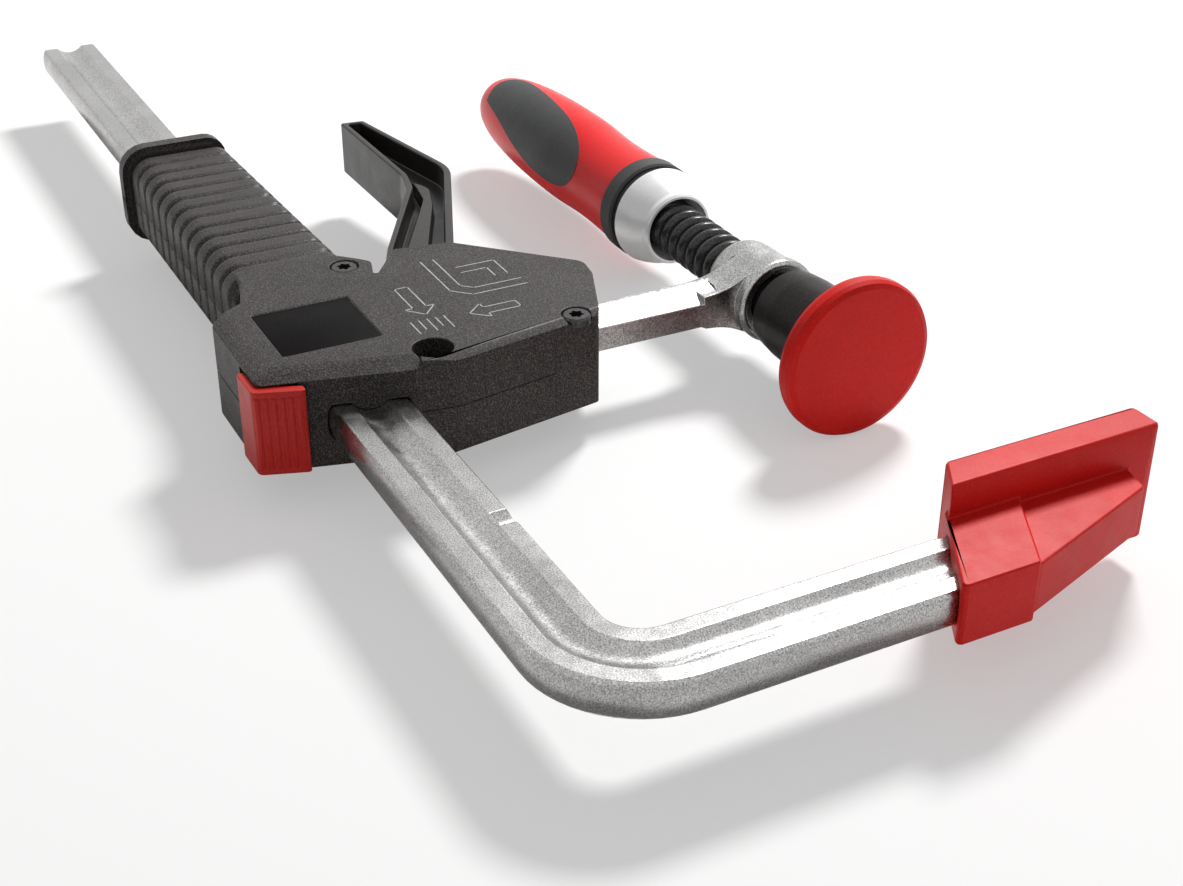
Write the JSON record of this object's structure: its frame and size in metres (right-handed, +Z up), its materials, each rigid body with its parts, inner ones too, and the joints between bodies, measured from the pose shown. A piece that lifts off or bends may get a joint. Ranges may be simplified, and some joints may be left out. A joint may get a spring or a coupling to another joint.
{
  "type": "quick release bar clamp",
  "caption": "One-handed bar clamp: a trigger walks a sliding arm along a bent rail, a turned handle drives a screw with a swivel pad against the fixed jaw.",
  "frame": {"origin": "middle of the bounding box's base; the clamp lies on its side, its flat plane level", "axes": "+X along the rail towards the fixed jaw, +Y from the rail towards the spindle, +Z up through the clamp's thickness"},
  "size_m": [0.4864, 0.1957, 0.0492],
  "materials": {
    "rail_zinc": "bright zinc plated cold-drawn steel",
    "arm_nickel": "bright plated forging, fine grain",
    "shell": "fine textured dark grey moulding",
    "bush": "smooth black moulding",
    "dark_steel": "black oxide",
    "pin_steel": "ground",
    "spring_steel": "drawn wire",
    "trigger": "fine textured black moulding",
    "red_lever": "satin red moulding",
    "red_cap": "soft satin red moulding",
    "handle_red": "satin red moulding",
    "soft_grip": "soft matte overmould",
    "ferrule_metal": "satin",
    "spindle_black": "black phosphate, oiled",
    "seat_bronze": "sintered",
    "foot": "black moulding"
  },
  "bodies": {
    "frame_rail": {"rail": "rail_zinc", "jaw_cap": "red_cap"},
    "carriage": {"housing_upper": "shell", "housing_lower": "shell", "grip_bush": "bush", "sliding_arm": "arm_nickel", "housing_screws": "dark_steel", "trigger_pin": "pin_steel", "release_pin": "pin_steel", "drive_springs": "spring_steel", "lock_spring": "spring_steel"},
    "trigger": {"trigger_lever": "trigger", "drive_pin": "pin_steel"},
    "drive": {"drive_plates": "dark_steel"},
    "lock": {"lock_plate": "dark_steel"},
    "release": {"release_lever": "red_lever"},
    "spindle_feed": {"ball_seat": "seat_bronze"},
    "spindle": {"spindle": "spindle_black", "handle_ferrule": "ferrule_metal", "handle_washer": "bush", "handle_ring": "bush", "handle_core": "handle_red", "handle_inlays": "soft_grip"},
    "swivel_ring": {"retaining_ring": "spring_steel"},
    "foot": {"swivel_foot": "foot", "pad_cap": "red_cap"}
  },
  "joints": [
    {"name": "carriage_slide", "type": "slide", "parent": "frame_rail", "child": "carriage", "axis": [1, 0, 0], "range_m": [-0.15, 0.045]},
    {"name": "trigger_swing", "type": "hinge", "parent": "carriage", "child": "trigger", "pos_m": [0.0413, -0.03615, 0.0246], "axis": [0, 0, 1], "range_deg": [0, 14], "stiffness_Nm_per_rad": 1.2, "springref_deg": -5.73},
    {"name": "drive_slide", "type": "slide", "parent": "carriage", "child": "drive", "axis": [1, 0, 0], "range_m": [-0.005, 0], "deforming": ["drive_springs"]},
    {"name": "lock_tilt", "type": "hinge", "parent": "carriage", "child": "lock", "pos_m": [0.0824, -0.05095, 0.0246], "axis": [0, 0, 1], "range_deg": [-1.8, 0], "deforming": ["lock_spring"]},
    {"name": "release_press", "type": "hinge", "parent": "carriage", "child": "release", "pos_m": [0.0878, -0.08195, 0.0246], "axis": [0, 0, 1], "range_deg": [-8, 0], "stiffness_Nm_per_rad": 0.8, "springref_deg": 4.01},
    {"name": "spindle_feed", "type": "slide", "parent": "carriage", "child": "spindle_feed", "axis": [1, 0, 0], "range_m": [0, 0.025]},
    {"name": "spindle_turn", "type": "hinge", "parent": "spindle_feed", "child": "spindle", "pos_m": [0.1088, 0.06945, 0.0246], "axis": [1, 0, 0], "range_deg": [0, 1636.36]},
    {"name": "pad_tilt", "type": "hinge", "parent": "spindle_feed", "child": "swivel_ring", "pos_m": [0.1088, 0.06945, 0.0246], "axis": [0, 1, 0], "range_deg": [-10, 10]},
    {"name": "pad_swing", "type": "hinge", "parent": "swivel_ring", "child": "foot", "pos_m": [0.1088, 0.06945, 0.0246], "axis": [0, 0, 1], "range_deg": [-10, 10]}
  ],
  "couplings": [
    {"joint": "drive_slide", "follows": "trigger_swing", "m_per_rad": -0.0192},
    {"joint": "lock_tilt", "follows": "release_press", "ratio": 0.225},
    {"joint": "spindle_turn", "follows": "spindle_feed", "rad_per_m": 1142.4}
  ]
}
